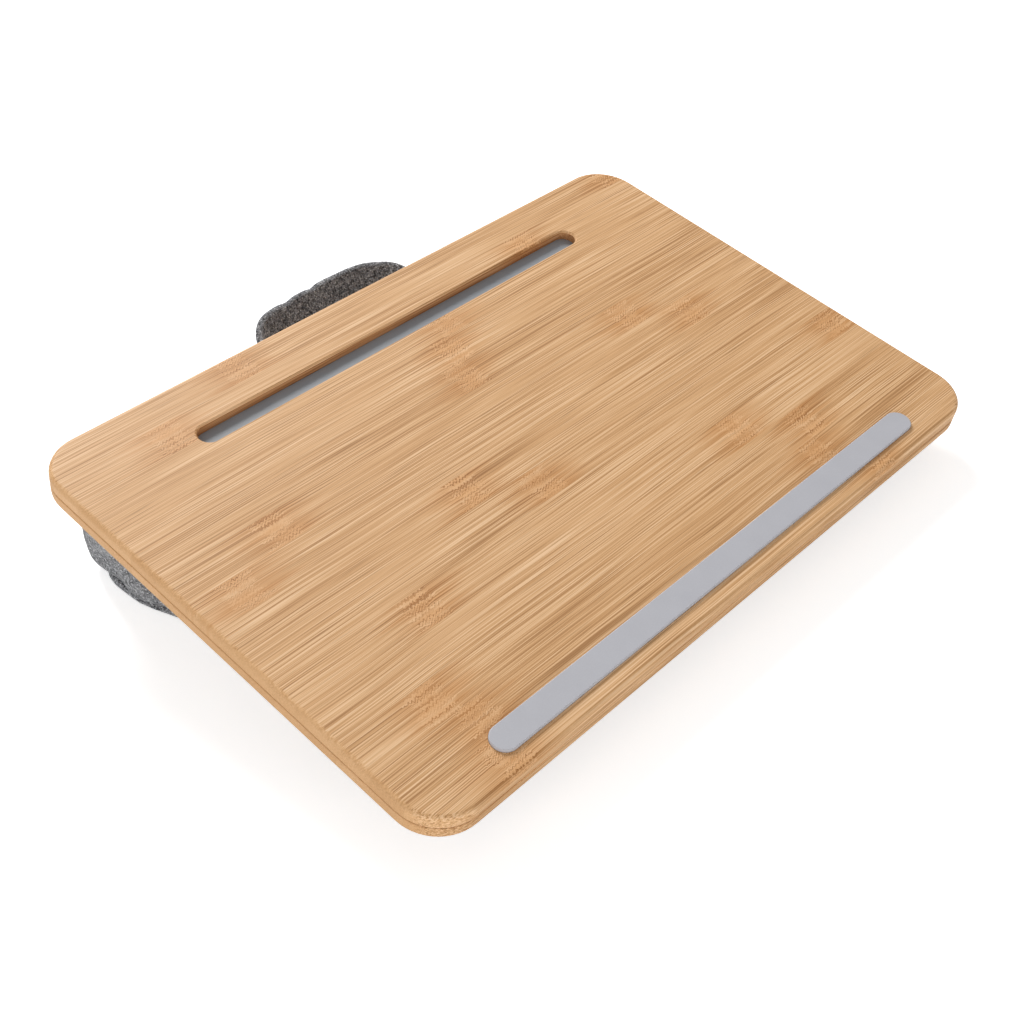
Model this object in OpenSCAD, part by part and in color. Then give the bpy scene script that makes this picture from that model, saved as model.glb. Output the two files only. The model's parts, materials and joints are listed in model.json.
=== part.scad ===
// Lap desk with a lift lid. Two bamboo boards are hinged along their back edge.
// The lower one carries a storage tub, and a fabric wedge cushion tilts them towards the user.
// +X is the user's right, -Y faces the user and +Z is up. The cushion rests on z = 0.

/* [Boards] */
// Width of both boards, left to right
board_w = 450; // [430:5:500]
// Depth of both boards, front to back
board_d = 300; // [290:5:340]
// Radius of the board corners seen from above
corner_r = 26; // [16:1:36]
// Thickness of the lid
lid_t = 8; // [7.5:0.5:11]
// Thickness of the lower board
base_t = 8; // [7:0.5:11]
// Gap between the closed lid and the lower board
seam_gap = 0.6; // [0.4:0.1:1]
// Radius of the rounded outer edges, lid top and lower board bottom
edge_r = 3; // [1.5:0.5:4]
// Radius of the eased edges on both sides of the seam
seam_r = 0.8; // [0.4:0.1:1.2]

/* [Device slot] */
// Length of the slot that holds a phone or tablet
slot_l = 297; // [250:1:330]
// Width of the slot
slot_w = 13.5; // [11:0.5:16]
// Distance from the back edge to the middle of the slot
slot_back = 42; // [36:1:50]
// Depth of the slot from the top face to its floor
slot_depth = 6; // [4.5:0.25:6.5]
// Chamfer round the top of the slot
slot_chamfer = 1; // [0.4:0.1:1.5]
// Width of the liner's rim round the slot
liner_rim = 10; // [8:1:14]

/* [Grip strip] */
// Length of the grip strip
strip_l = 346; // [300:1:380]
// Width of the grip strip
strip_w = 15.2; // [12:0.2:18]
// Distance from the front edge to the middle of the strip
strip_front = 17.5; // [15:0.5:24]
// Height of the strip above the lid
strip_proud = 1.7; // [1:0.1:2.5]
// Depth of the groove that the strip is glued into
strip_groove = 1; // [0.5:0.1:1.5]

/* [Storage tub] */
// Inner width of the tub
tub_w = 310; // [280:2:340]
// Inner depth of the tub, front to back
tub_d = 216; // [196:2:220]
// Distance from the boards' back edge to the inside of the tub
tub_back = 34; // [32:1:40]
// Depth of the tub below the lower board
tub_drop = 20; // [14:1:22]
// Wall and floor thickness of the tub
tub_wall = 2; // [1.5:0.25:2.5]
// Inner corner radius of the tub
tub_r = 14; // [8:1:20]
// Width of the rim that rests on the lower board
rim_w = 8; // [7:0.5:10]
// Thickness of the rim
rim_t = 2; // [1.5:0.25:2.5]
// Thickness of the felt mat
mat_t = 1.5; // [1:0.25:2]

/* [Hinges] */
// Distance from the middle to each hinge
hinge_x = 140; // [110:5:160]
// Length of a hinge along its pin
hinge_l = 42; // [36:1:50]
// How far a leaf reaches in from the back edge
leaf_d = 14; // [11:0.5:16]
// Thickness of a leaf
leaf_t = 1.2; // [1:0.1:1.5]
// Outer radius of a knuckle
knuckle_r = 2.6; // [2.3:0.1:3.2]
// Radius of the pin
pin_r = 1.25; // [1:0.05:1.5]
// Gap between neighbouring knuckles
knuckle_gap = 0.3; // [0.2:0.1:0.5]
// Opening angle at which the heels of the hinge meet
lid_open = 105; // [100:1:110]

/* [Cushion] */
// Slope of the boards on the cushion
tilt = 9.4; // [7:0.2:11]
// Height of the lower board's underside at its middle
mid_height = 43; // [40:1:55]
// Width of the cushion over its piping
cushion_w = 410; // [390:2:420]
// Depth of the cushion over its piping
cushion_d = 274; // [268:1:280]
// Distance from the boards' back edge to the back of the cushion
cushion_back = 11; // [9:1:14]
// Corner radius of the cushion
cushion_r = 36; // [24:1:50]
// Thickness of the cover fabric
cloth_t = 1.2; // [0.8:0.1:1.6]
// Radius of the piping
piping_r = 2; // [1.5:0.1:2.5]
// Thickness of one side of the hook and loop tape
tape_t = 1.2; // [0.8:0.1:1.6]
// Width of the hook and loop tapes at the sides
tape_w = 14; // [10:1:15]

/* [Handle] */
// Width of the handle from leg to leg, over all
handle_w = 124; // [110:2:140]
// How far the handle reaches behind the back edge of the boards
handle_reach = 41; // [34:1:50]
// Width of the handle band, top to bottom
band_w = 24; // [20:1:30]
// Thickness of the padded band
band_t = 5; // [4:0.5:7]
// Outer corner radius of the handle seen from above
handle_r = 24; // [16:1:30]
// How far the top of the band lies below the lower board's underside
band_drop = 8; // [6:1:12]
// Radius of the sewn end that the handle turns about
root_r = 8; // [6:0.5:9]

/* [Hidden] */

// Clearances
fit_gap = 0.15;
tub_gap = 0.8;
pin_gap = 0.05;
soft_gap = 0.3;
eps = 0.01;

// Levels in the boards' own frame, measured from the lower board's underside
seam_z = base_t;
lid_z = base_t + seam_gap;
top_z = lid_z + lid_t;
axis_z = base_t + seam_gap / 2;
axis_y = board_d / 2;
cover_z = -2 * tape_t;
core_z = cover_z - cloth_t;

slot_y = board_d / 2 - slot_back;
strip_y = -board_d / 2 + strip_front;
tub_y = board_d / 2 - tub_back - tub_d / 2;
cushion_y = board_d / 2 - cushion_back - cushion_d / 2;
liner_t = lid_t - slot_depth - 0.1;
liner_l = slot_l + 2 * liner_rim;
liner_w = slot_w + 2 * liner_rim;

bumper_r = 4;
bumper_x = board_w / 2 - 30;
bumper_y = board_d / 2 - 24;
bumper_pocket = 0.8;
magnet_r = 5;
magnet_t = 2.5;
magnet_x = tub_w / 2 + tub_wall + rim_w + magnet_r + 2;
magnet_y = -board_d / 2 + 45;

screw_r = 1.25;
screw_head_r = 2.4;
screw_head_h = 1.2;
screw_l = 5.5;

// Hinge stop: a heel on the lid's knuckle that meets the lower leaf from below
knuckle_l = (hinge_l - 2 * knuckle_gap) / 3;
heel_t = 1.4;
heel_w = knuckle_l - 1;
heel_reach = knuckle_r + 1.8;
heel_sweep = sqrt(pow(heel_reach, 2) + pow(seam_gap / 2 + leaf_t + fit_gap + heel_t, 2));

shell_w = cushion_w - 4 * piping_r;
shell_d = cushion_d - 4 * piping_r;
shell_r = cushion_r - 2 * piping_r;
shell_back_y = cushion_y + shell_d / 2;
shell_front_y = cushion_y - shell_d / 2;

anchor_t = 2;
anchor_w = 26;
anchor_h = 2 * root_r + 8;
band_mid_z = -band_drop - band_w / 2;
anchor_back_y = shell_back_y + soft_gap / 3 + anchor_t;
root_y = (anchor_back_y + soft_gap + root_r + band_mid_z * sin(tilt)) / cos(tilt);
root_height = mid_height + root_y * sin(tilt) + band_mid_z * cos(tilt);

// The boards' frame, tilted down towards the user
module tilted() translate([0, 0, mid_height]) rotate([tilt, 0, 0]) children();

// Outline helpers
module round_rect(w, d, r) {
  square([w - 2 * r, d], center = true);
  square([w, d - 2 * r], center = true);
  for (sx = [-1, 1], sy = [-1, 1])
    translate([sx * (w / 2 - r), sy * (d / 2 - r)]) circle(r = r, $fn = 96);
}

module stadium(l, w) {
  square([l - w, w], center = true);
  for (sx = [-1, 1]) translate([sx * (l - w) / 2, 0]) circle(d = w, $fn = 64);
}

// A stadium whose sides flare out by the height, for chamfers
module stadium_flare(l, w, h) {
  for (sx = [-1, 1])
    translate([sx * (l - w) / 2, 0, 0]) cylinder(r1 = w / 2, r2 = w / 2 + h, h = h, $fn = 64);
  rotate([90, 0, 90]) translate([0, 0, -(l - w) / 2]) linear_extrude(l - w)
    polygon([[-w / 2, 0], [w / 2, 0], [w / 2 + h, h], [-w / 2 - h, h]]);
}

// Right-hand side of a board's section, from the bottom to the top, with rounded edges
function edge_side(x, t, bottom_r, top_r, n = 6) = concat(
  [for (i = [0:n]) [x - bottom_r + bottom_r * sin(90 * i / n), bottom_r - bottom_r * cos(90 * i / n)]],
  [for (i = [0:n]) [x - top_r + top_r * cos(90 * i / n), t - top_r + top_r * sin(90 * i / n)]]
);
function flipped(points) = [for (i = [len(points) - 1:-1:0]) [-points[i][0], points[i][1]]];

module board_section(size, t, bottom_r, top_r) {
  side = edge_side(size / 2, t, bottom_r, top_r);
  polygon(concat(side, flipped(side)));
}

// A board with round corners and rounded edges, standing on z = 0
module eased_board(w, d, r, t, bottom_r, top_r) {
  rotate([90, 0, 90]) translate([0, 0, -w / 2 + r]) linear_extrude(w - 2 * r)
    board_section(d, t, bottom_r, top_r);
  rotate([90, 0, 0]) translate([0, 0, -d / 2 + r]) linear_extrude(d - 2 * r)
    board_section(w, t, bottom_r, top_r);
  for (sx = [-1, 1], sy = [-1, 1])
    translate([sx * (w / 2 - r), sy * (d / 2 - r), 0]) rotate_extrude($fn = 96)
      polygon(concat([[0, 0]], edge_side(r, t, bottom_r, top_r), [[0, t]]));
}

// Screws point down from z = 0 with a countersunk head
module screw() {
  translate([0, 0, -screw_head_h])
    cylinder(r1 = screw_r, r2 = screw_head_r, h = screw_head_h, $fn = 32);
  translate([0, 0, -screw_l]) cylinder(r = screw_r, h = screw_l - screw_head_h + eps, $fn = 32);
}

// The hole that a screw sits in
module screw_hole() {
  translate([0, 0, -screw_head_h])
    cylinder(r1 = screw_r + fit_gap, r2 = screw_head_r + fit_gap, h = screw_head_h, $fn = 32);
  translate([0, 0, -screw_l - fit_gap]) cylinder(r = screw_r + fit_gap, h = screw_l + fit_gap, $fn = 32);
  cylinder(r = screw_head_r + fit_gap, h = 1, $fn = 32);
}

// Places of things that repeat
module at_hinges() for (sx = [-1, 1]) translate([sx * hinge_x, 0, 0]) children();
module at_leaf_screws() for (k = [-1, 1])
  translate([k * hinge_l * 0.32, board_d / 2 - leaf_d * 0.5, 0]) children();
module at_bumpers() for (sx = [-1, 1], sy = [-1, 1])
  translate([sx * bumper_x, sy * bumper_y, 0]) children();
module at_magnets() for (sx = [-1, 1]) translate([sx * magnet_x, magnet_y, 0]) children();
module at_liner_screws() for (k = [-1.5, -0.5, 0.5, 1.5], sy = [-1, 1])
  translate([k * slot_l * 0.3, slot_y + sy * (slot_w + liner_rim) / 2, 0]) children();
module at_tub_screws() for (k = [-1, 0, 1], sy = [-1, 1])
  translate([k * tub_w * 0.42, tub_y + sy * (tub_d / 2 + rim_w / 2 + tub_wall / 2), 0]) children();
module at_handle_roots() for (sx = [-1, 1])
  translate([sx * (handle_w - band_t) / 2, 0, 0]) children();

// Lid
module lid_board() color("burlywood") tilted() difference() {
  translate([0, 0, lid_z]) eased_board(board_w, board_d, corner_r, lid_t, seam_r, edge_r);
  translate([0, slot_y, lid_z - 1]) linear_extrude(lid_t + 2) stadium(slot_l, slot_w);
  translate([0, slot_y, top_z - slot_chamfer]) stadium_flare(slot_l, slot_w, slot_chamfer + eps);
  translate([0, slot_y, lid_z - 1]) linear_extrude(1 + lid_t - slot_depth)
    round_rect(liner_l + 2 * fit_gap, liner_w + 2 * fit_gap, slot_w / 2);
  translate([0, strip_y, top_z - strip_groove]) linear_extrude(strip_groove + 1)
    stadium(strip_l + 2 * fit_gap, strip_w + 2 * fit_gap);
  at_bumpers() translate([0, 0, lid_z - 1])
    cylinder(r = bumper_r + fit_gap, h = 1 + bumper_pocket, $fn = 48);
  at_magnets() translate([0, 0, lid_z - 1])
    cylinder(r = magnet_r + fit_gap, h = 1 + magnet_t + fit_gap, $fn = 48);
  at_hinges() {
    knuckle_recess(hinge_l, knuckle_r);
    leaf_mortise(lid_z - 1, lid_z + leaf_t + fit_gap / 2);
    at_leaf_screws() translate([0, 0, lid_z]) rotate([180, 0, 0]) screw_hole();
  }
  at_liner_screws() translate([0, 0, lid_z]) rotate([180, 0, 0]) screw_hole();
}

module grip_strip() color([0.70, 0.70, 0.73]) tilted() translate([0, strip_y, top_z - strip_groove]) {
  ease = 0.5;
  h = strip_groove + strip_proud;
  half = [[strip_w / 2, 0], [strip_w / 2, h - ease], [strip_w / 2 - ease, h]];
  rotate([90, 0, 90]) translate([0, 0, -(strip_l - strip_w) / 2]) linear_extrude(strip_l - strip_w)
    polygon(concat(half, flipped(half)));
  for (sx = [-1, 1]) translate([sx * (strip_l - strip_w) / 2, 0, 0])
    rotate_extrude($fn = 64) polygon(concat([[0, 0]], half, [[0, h]]));
}

module slot_liner() color([0.62, 0.66, 0.68]) tilted() difference() {
  translate([0, slot_y, lid_z]) linear_extrude(liner_t) round_rect(liner_l, liner_w, slot_w / 2);
  at_liner_screws() translate([0, 0, lid_z]) rotate([180, 0, 0]) screw_hole();
}

module liner_screws() color("silver") tilted()
  at_liner_screws() translate([0, 0, lid_z + eps]) rotate([180, 0, 0]) screw();

module lid_magnets() color("gray") tilted()
  at_magnets() translate([0, 0, lid_z + fit_gap]) cylinder(r = magnet_r, h = magnet_t, $fn = 48);

module lid_bumpers() color("dimgray") tilted()
  at_bumpers() translate([0, 0, seam_z + fit_gap])
    cylinder(r = bumper_r, h = seam_gap + bumper_pocket - fit_gap - eps, $fn = 48);

// Hinges: three knuckles on one pin, the outer two on the lower leaf. The pin lies in the plane
// of the boards' back faces, so the lid can turn past upright, until the heels stop it.
module knuckle_recess(l, r) translate([-l / 2 - fit_gap, axis_y, axis_z]) rotate([0, 90, 0])
  cylinder(r = r + soft_gap, h = l + 2 * fit_gap, $fn = 64);

module leaf_mortise(z0, z1) {
  translate([-hinge_l / 2 - fit_gap, board_d / 2 - leaf_d - fit_gap, z0])
    cube([hinge_l + 2 * fit_gap, leaf_d + 10, z1 - z0]);
}

module knuckle(x0, leaf_z) {
  difference() {
    union() {
      translate([x0, axis_y, axis_z]) rotate([0, 90, 0]) cylinder(r = knuckle_r, h = knuckle_l, $fn = 48);
      translate([x0, board_d / 2 - leaf_d / 2, leaf_z])
        cube([knuckle_l, leaf_d / 2 + axis_y - board_d / 2, leaf_t]);
    }
    translate([x0 - 1, axis_y, axis_z]) rotate([0, 90, 0])
      cylinder(r = pin_r + pin_gap, h = knuckle_l + 2, $fn = 48);
  }
}

module leaf_plate(leaf_z) {
  translate([-hinge_l / 2, board_d / 2 - leaf_d, leaf_z])
    cube([hinge_l, leaf_d - knuckle_r - soft_gap, leaf_t]);
}

// The heel, drawn where it meets the lower leaf and turned back to the closed lid
module hinge_heel() translate([0, axis_y, axis_z]) rotate([lid_open, 0, 0])
  translate([-heel_w / 2, -heel_reach, seam_z - leaf_t - fit_gap - heel_t - axis_z])
    cube([heel_w, heel_reach + knuckle_r / 3, heel_t]);

module hinge_lid_leaves() color("silver") tilted() at_hinges() difference() {
  union() {
    leaf_plate(lid_z);
    knuckle(-knuckle_l / 2, lid_z);
    hinge_heel();
  }
  at_leaf_screws() translate([0, 0, lid_z]) rotate([180, 0, 0]) screw_hole();
}

module hinge_lid_screws() color("silver") tilted() at_hinges()
  at_leaf_screws() translate([0, 0, lid_z + eps]) rotate([180, 0, 0]) screw();

module hinge_base_leaves() color("silver") tilted() at_hinges() difference() {
  union() {
    leaf_plate(seam_z - leaf_t);
    for (x0 = [-hinge_l / 2, hinge_l / 2 - knuckle_l]) knuckle(x0, seam_z - leaf_t);
  }
  at_leaf_screws() translate([0, 0, seam_z]) screw_hole();
}

module hinge_base_screws() color("silver") tilted() at_hinges()
  at_leaf_screws() translate([0, 0, seam_z - eps]) screw();

module hinge_pins() color("dimgray") tilted() at_hinges()
  translate([-hinge_l / 2, axis_y, axis_z]) rotate([0, 90, 0]) cylinder(r = pin_r, h = hinge_l, $fn = 48);

// Lower board with the tub let into it
module base_board() color("tan") tilted() difference() {
  eased_board(board_w, board_d, corner_r, base_t, edge_r, seam_r);
  translate([0, tub_y, -1]) linear_extrude(base_t + 2)
    round_rect(tub_w + 2 * tub_wall + 2 * fit_gap, tub_d + 2 * tub_wall + 2 * fit_gap, tub_r + tub_wall);
  translate([0, tub_y, base_t - rim_t]) linear_extrude(rim_t + 1)
    round_rect(tub_w + 2 * tub_wall + 2 * rim_w + 2 * fit_gap,
      tub_d + 2 * tub_wall + 2 * rim_w + 2 * fit_gap, tub_r + tub_wall + rim_w);
  at_hinges() {
    knuckle_recess(hinge_l, knuckle_r);
    knuckle_recess(knuckle_l, heel_sweep);
    leaf_mortise(seam_z - leaf_t - fit_gap / 2, seam_z + 1);
    at_leaf_screws() translate([0, 0, seam_z]) screw_hole();
  }
  at_magnets() translate([0, 0, seam_z - magnet_t - fit_gap])
    cylinder(r = magnet_r + fit_gap, h = magnet_t + 1, $fn = 48);
  at_tub_screws() translate([0, 0, seam_z]) screw_hole();
}

module strike_discs() color("silver") tilted()
  at_magnets() translate([0, 0, seam_z - magnet_t - fit_gap / 2]) cylinder(r = magnet_r, h = magnet_t, $fn = 48);

module storage_tub() color([0.45, 0.46, 0.48]) tilted() difference() {
  union() {
    translate([0, tub_y, -tub_drop]) linear_extrude(tub_drop + base_t)
      round_rect(tub_w + 2 * tub_wall, tub_d + 2 * tub_wall, tub_r + tub_wall);
    translate([0, tub_y, base_t - rim_t + eps]) linear_extrude(rim_t - eps)
      round_rect(tub_w + 2 * tub_wall + 2 * rim_w, tub_d + 2 * tub_wall + 2 * rim_w, tub_r + tub_wall + rim_w);
  }
  translate([0, tub_y, -tub_drop + tub_wall]) linear_extrude(tub_drop + base_t)
    round_rect(tub_w, tub_d, tub_r);
  at_tub_screws() translate([0, 0, seam_z]) screw_hole();
}

module tub_screws() color("silver") tilted()
  at_tub_screws() translate([0, 0, seam_z - eps]) screw();

module tub_mat() color([0.35, 0.36, 0.38]) tilted()
  translate([0, tub_y, -tub_drop + tub_wall + eps]) linear_extrude(mat_t)
    round_rect(tub_w - 1, tub_d - 1, tub_r - 0.5);

// Hook and loop tape between the lower board and the cushion
module tape_layout() {
  side_x = shell_w / 2 - tape_w / 2 - 8;
  space_d = tub_d / 2 + tub_wall + tub_gap;
  back_room = shell_back_y - tub_y - space_d;
  front_room = tub_y - space_d - shell_front_y;
  for (sx = [-1, 1]) translate([sx * side_x, cushion_y]) square([tape_w, shell_d * 0.6], center = true);
  translate([0, shell_back_y - back_room / 2]) square([shell_w * 0.6, back_room * 0.86], center = true);
  translate([0, shell_front_y + front_room / 2]) square([shell_w * 0.6, front_room / 2], center = true);
}

module loop_tapes() color("darkslategray") tilted()
  translate([0, 0, -tape_t]) linear_extrude(tape_t) tape_layout();

module hook_tapes() color("black") tilted()
  translate([0, 0, -2 * tape_t]) linear_extrude(tape_t) tape_layout();

// Cushion
module cushion_column(inset = 0) {
  translate([0, cushion_y, 0])
    linear_extrude(3 * mid_height) round_rect(shell_w - 2 * inset, shell_d - 2 * inset, shell_r - inset);
}

// A slab of space between two heights in the boards' frame
module tilted_slab(z0, z1) tilted() translate([-board_w, -board_d, z0]) cube([2 * board_w, 2 * board_d, z1 - z0]);

module tub_space() tilted()
  translate([0, tub_y, -tub_drop - tub_gap]) linear_extrude(4 * tub_drop)
    round_rect(tub_w + 2 * tub_wall + 2 * tub_gap, tub_d + 2 * tub_wall + 2 * tub_gap, tub_r + tub_wall + tub_gap);

module cushion_core() color("whitesmoke") difference() {
  intersection() {
    cushion_column(cloth_t);
    tilted_slab(-4 * mid_height, core_z);
    translate([-board_w, -board_d, cloth_t]) cube([2 * board_w, 2 * board_d, 4 * mid_height]);
  }
  tub_space();
}

module cover_top() color([0.50, 0.50, 0.52]) difference() {
  intersection() {
    cushion_column();
    tilted_slab(core_z, cover_z);
  }
  tub_space();
}

module cover_boxing() color([0.55, 0.55, 0.57]) difference() {
  intersection() {
    cushion_column();
    tilted_slab(-4 * mid_height, core_z);
    translate([-board_w, -board_d, cloth_t]) cube([2 * board_w, 2 * board_d, 4 * mid_height]);
  }
  cushion_column(cloth_t);
}

module cover_bottom() color([0.42, 0.42, 0.44]) translate([0, cushion_y, 0])
  linear_extrude(cloth_t) round_rect(shell_w, shell_d, shell_r);

// A cord that runs round a rounded rectangle
module piping_ring(w, d, r) {
  for (s = [-1, 1]) {
    translate([-w / 2 + r, s * d / 2, 0]) rotate([0, 90, 0]) cylinder(r = piping_r, h = w - 2 * r, $fn = 24);
    translate([s * w / 2, -d / 2 + r, 0]) rotate([-90, 0, 0]) cylinder(r = piping_r, h = d - 2 * r, $fn = 24);
  }
  for (k = [0:3])
    translate([(k == 0 || k == 3 ? 1 : -1) * (w / 2 - r), (k < 2 ? 1 : -1) * (d / 2 - r), 0])
      rotate([0, 0, 90 * k]) rotate_extrude(angle = 90, $fn = 96)
        translate([r, 0]) circle(r = piping_r, $fn = 24);
}

module piping_bottom() color([0.40, 0.40, 0.42])
  translate([0, cushion_y, piping_r]) piping_ring(
    shell_w + 2 * piping_r + 2 * fit_gap, shell_d + 2 * piping_r + 2 * fit_gap, shell_r + piping_r + fit_gap);

module piping_top() color([0.40, 0.40, 0.42]) tilted() {
  ring_z = core_z - piping_r / 2;
  translate([0, (cushion_y + ring_z * sin(tilt)) / cos(tilt), ring_z])
    piping_ring(shell_w + 2 * piping_r + 2 * fit_gap, (shell_d + 2 * piping_r + 2 * fit_gap) / cos(tilt),
      shell_r + piping_r + fit_gap);
}

// Handle: a padded band that bows out behind the boards
module handle_plan(inset = 0) {
  out_y = board_d / 2 + handle_reach - inset;
  start_y = root_y - root_r;
  depth = 2 * (out_y - start_y);
  inner = band_t - 2 * inset;
  difference() {
    translate([0, start_y]) round_rect(handle_w - 2 * inset, depth, handle_r - inset);
    translate([0, start_y]) round_rect(handle_w - 2 * inset - 2 * inner, depth - 2 * inner, handle_r - inset - inner);
    translate([-handle_w, start_y - depth]) square([2 * handle_w, depth]);
  }
}

module handle_side(inset = 0) {
  half = band_w / 2 - inset;
  taper = 16;
  translate([root_y, band_mid_z]) circle(r = root_r - inset, $fn = 64);
  polygon([
    [root_y, band_mid_z - root_r + inset], [root_y + taper, band_mid_z - half],
    [board_d, band_mid_z - half], [board_d, band_mid_z + half],
    [root_y + taper, band_mid_z + half], [root_y, band_mid_z + root_r - inset]
  ]);
}

module handle_form(inset = 0) intersection() {
  translate([0, 0, band_mid_z - band_w]) linear_extrude(2 * band_w) handle_plan(inset);
  rotate([90, 0, 90]) translate([0, 0, -handle_w]) linear_extrude(2 * handle_w) handle_side(inset);
}

module handle_cover() color([0.50, 0.50, 0.52]) tilted() difference() {
  handle_form();
  handle_form(cloth_t);
}

module handle_core() color("whitesmoke") tilted() handle_form(cloth_t + eps);

module handle_anchors() color([0.40, 0.40, 0.42]) at_handle_roots()
  translate([-anchor_w / 2, anchor_back_y - anchor_t, root_height - anchor_h / 2])
    cube([anchor_w, anchor_t, anchor_h]);

lid_board();
grip_strip();
slot_liner();
liner_screws();
lid_magnets();
lid_bumpers();
hinge_lid_leaves();
hinge_lid_screws();
base_board();
storage_tub();
tub_screws();
tub_mat();
strike_discs();
hinge_base_leaves();
hinge_base_screws();
hinge_pins();
loop_tapes();
hook_tapes();
cushion_core();
cover_top();
cover_boxing();
cover_bottom();
piping_top();
piping_bottom();
handle_anchors();
handle_cover();
handle_core();
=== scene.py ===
# %% [markdown]
# A bamboo lap desk with a lift lid. The exact pieces (boards, hinges, tub, screws) come in from
# the frame at their real size and place. This lesson gives each of them a finish, and models the
# soft pieces that a sewing room would make: the wedge cushion, its piping and the carry loop.

# %% Load the frame
import json
import math

import bpy
import bmesh
from mathutils import Matrix, Vector, noise


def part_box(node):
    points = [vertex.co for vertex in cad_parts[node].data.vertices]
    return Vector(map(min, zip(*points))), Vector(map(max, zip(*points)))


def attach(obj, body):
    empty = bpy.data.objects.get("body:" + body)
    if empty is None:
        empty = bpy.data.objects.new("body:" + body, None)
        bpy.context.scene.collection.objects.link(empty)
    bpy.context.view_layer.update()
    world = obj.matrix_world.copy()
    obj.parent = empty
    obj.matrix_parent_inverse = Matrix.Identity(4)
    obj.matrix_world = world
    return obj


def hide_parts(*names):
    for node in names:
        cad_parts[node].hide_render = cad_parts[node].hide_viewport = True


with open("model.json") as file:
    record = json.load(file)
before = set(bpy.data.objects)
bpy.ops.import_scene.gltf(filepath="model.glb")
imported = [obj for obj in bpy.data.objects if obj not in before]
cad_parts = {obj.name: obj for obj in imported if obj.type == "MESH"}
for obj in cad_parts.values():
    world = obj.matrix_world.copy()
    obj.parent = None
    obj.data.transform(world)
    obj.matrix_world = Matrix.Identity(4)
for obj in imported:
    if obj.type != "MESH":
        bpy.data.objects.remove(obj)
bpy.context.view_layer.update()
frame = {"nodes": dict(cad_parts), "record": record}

nodes = frame["nodes"]
mounts = {mount["name"]: mount for mount in frame["record"]["mounts"]}

# %% [markdown]
# The boards slope down towards the user. Everything on them is easiest to place in their own
# frame, with x to the right, y to the back and z along the normal. The worktop mount gives that
# frame: its position is the middle of the top face, and its axis is the normal.

# %% The boards' own frame
MM = 0.001
worktop = Vector(mounts["worktop"]["pos_m"])
normal = Vector(mounts["worktop"]["axis"])
tilt = math.atan2(-normal.y, normal.z)
board_frame = Matrix.Translation(worktop) @ Matrix.Rotation(tilt, 4, "X")
board_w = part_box("lid_board")[1][0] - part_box("lid_board")[0][0]
board_thick = 16.6 * MM
board_d = 300 * MM
strip_count = 14
print("tilt", round(math.degrees(tilt), 2), "board width", round(board_w, 4))


def on_board(x, y, z):
    """A point given in the boards' frame, in the frame of the whole part."""
    return board_frame @ Vector((x, y, z))


def deselect_all():
    bpy.ops.object.select_all(action="DESELECT")


def pick(piece):
    """Makes one piece the only selected one, and the active one."""
    deselect_all()
    piece.select_set(True)
    bpy.context.view_layer.objects.active = piece


def apply_place(piece):
    """Moves the object's own place into its mesh, so that it ends at the origin."""
    pick(piece)
    bpy.ops.object.transform_apply(location=True, rotation=True, scale=True)


def apply_modifiers(piece):
    pick(piece)
    for modifier in list(piece.modifiers):
        bpy.ops.object.modifier_apply(modifier=modifier.name)


# %% [markdown]
# The camera comes first, because every later look is judged through it. Its place was found from
# the outline of the boards: the four straight edges and the corners fix where the eye is, given
# in the boards' frame. The lens is a moderate one, a little longer than the eye's own view.

# %% Camera
CAMERA_PLACE = (-0.4954, -0.3585, 0.5573)
CAMERA_LOOK = (0.5607, 0.4142, -0.7170)
CAMERA_LENS = 52.5
bpy.ops.object.camera_add(location=on_board(*CAMERA_PLACE))
camera = bpy.context.object
look = board_frame.to_3x3() @ Vector(CAMERA_LOOK)
camera.rotation_euler = look.to_track_quat("-Z", "Y").to_euler()
camera.data.lens = CAMERA_LENS
camera.data.sensor_width = 36
camera.data.clip_end = 50
bpy.context.scene.camera = camera
bpy.context.scene.view_settings.view_transform = "Standard"
print("camera", [round(v, 3) for v in camera.location])

# %% [markdown]
# A plain pale floor and a soft studio light. The floor adds a little glow of its own, for the
# camera only, so that it turns white away from the part and still keeps the part's shadow. The
# world fills all sides. One lamp behind the boards gives the shadows their direction, so that the
# back wall of the slot is dark. Two low ones, left and in front, keep the boards' edges as bright
# as their top and hardly reach into the slot.

# %% Floor and lights
bpy.ops.mesh.primitive_plane_add(size=12, location=(0, 0, 0))
floor = bpy.context.object
floor.name = "floor"
FLOOR_GLOW = 0.6
floor_finish = bpy.data.materials.new("floor_paper")
floor_finish.use_nodes = True
paper = floor_finish.node_tree.nodes["Principled BSDF"]
paper.inputs["Base Color"].default_value = (0.9, 0.9, 0.9, 1)
paper.inputs["Roughness"].default_value = 0.9
paper.inputs["Specular IOR Level"].default_value = 0.1
paper.inputs["Emission Color"].default_value = (1, 1, 1, 1)
floor_path = floor_finish.node_tree.nodes.new("ShaderNodeLightPath")
glow = floor_finish.node_tree.nodes.new("ShaderNodeMath")
glow.operation = "MULTIPLY"
glow.inputs[1].default_value = FLOOR_GLOW
floor_finish.node_tree.links.new(floor_path.outputs["Is Camera Ray"], glow.inputs[0])
floor_finish.node_tree.links.new(glow.outputs[0], paper.inputs["Emission Strength"])
floor.data.materials.append(floor_finish)

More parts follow.
